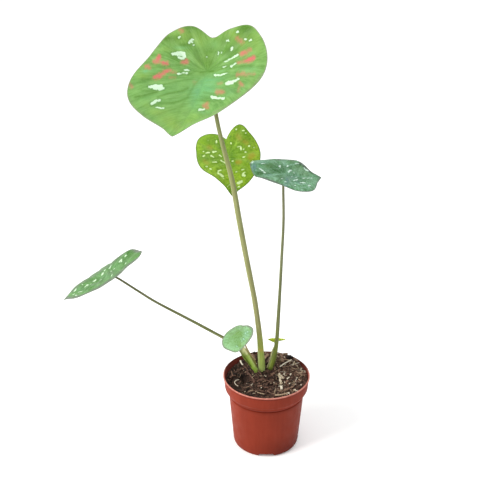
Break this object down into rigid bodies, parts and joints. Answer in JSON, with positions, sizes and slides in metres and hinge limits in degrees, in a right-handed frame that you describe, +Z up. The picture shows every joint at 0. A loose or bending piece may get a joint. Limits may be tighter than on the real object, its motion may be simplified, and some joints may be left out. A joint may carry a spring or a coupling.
{
  "type": "potted caladium",
  "caption": "Potted young florida clown caladium: heart-shaped spotted leaves on long bare stalks, rising from potting mix in a round nursery pot.",
  "frame": {"origin": "on the pot's axis, in the plane that the pot stands on", "axes": "+Z up; the front of the plant, which the large top leaf faces, is -Y; the low left leaf reaches to -X"},
  "size_m": [0.2968, 0.1854, 0.5232],
  "materials": {
    "pot": "terracotta-red plastic, semi-matt",
    "potting_mix": "damp peat and bark, dark brown with pale fibres",
    "tuber": "dry brown skin",
    "stalk_olive": "smooth olive, greener at the sheath",
    "stalk_green": "smooth dark green",
    "stalk_brown": "smooth, brownish",
    "stalk_pale": "smooth, pale yellow-green",
    "blade_top": "soft satin, mid green with white and pink spots",
    "blade_back": "soft satin, bright yellow-green with pale spots",
    "blade_right": "soft satin, blue-green with white spots",
    "blade_left": "soft satin, deep green with pale spots",
    "blade_small": "soft satin, pale mint with a grey edge",
    "blade_bud": "soft, yellow-green"
  },
  "bodies": {
    "root": {"pot": "pot", "potting_mix": "potting_mix", "tuber": "tuber", "stalk_top": "stalk_olive", "stalk_back": "stalk_olive", "stalk_right": "stalk_green", "stalk_left": "stalk_green", "stalk_small": "stalk_brown", "stalk_bud": "stalk_pale", "blade_top": "blade_top", "blade_back": "blade_back", "blade_right": "blade_right", "blade_left": "blade_left", "blade_small": "blade_small", "blade_bud": "blade_bud"}
  },
  "joints": []
}
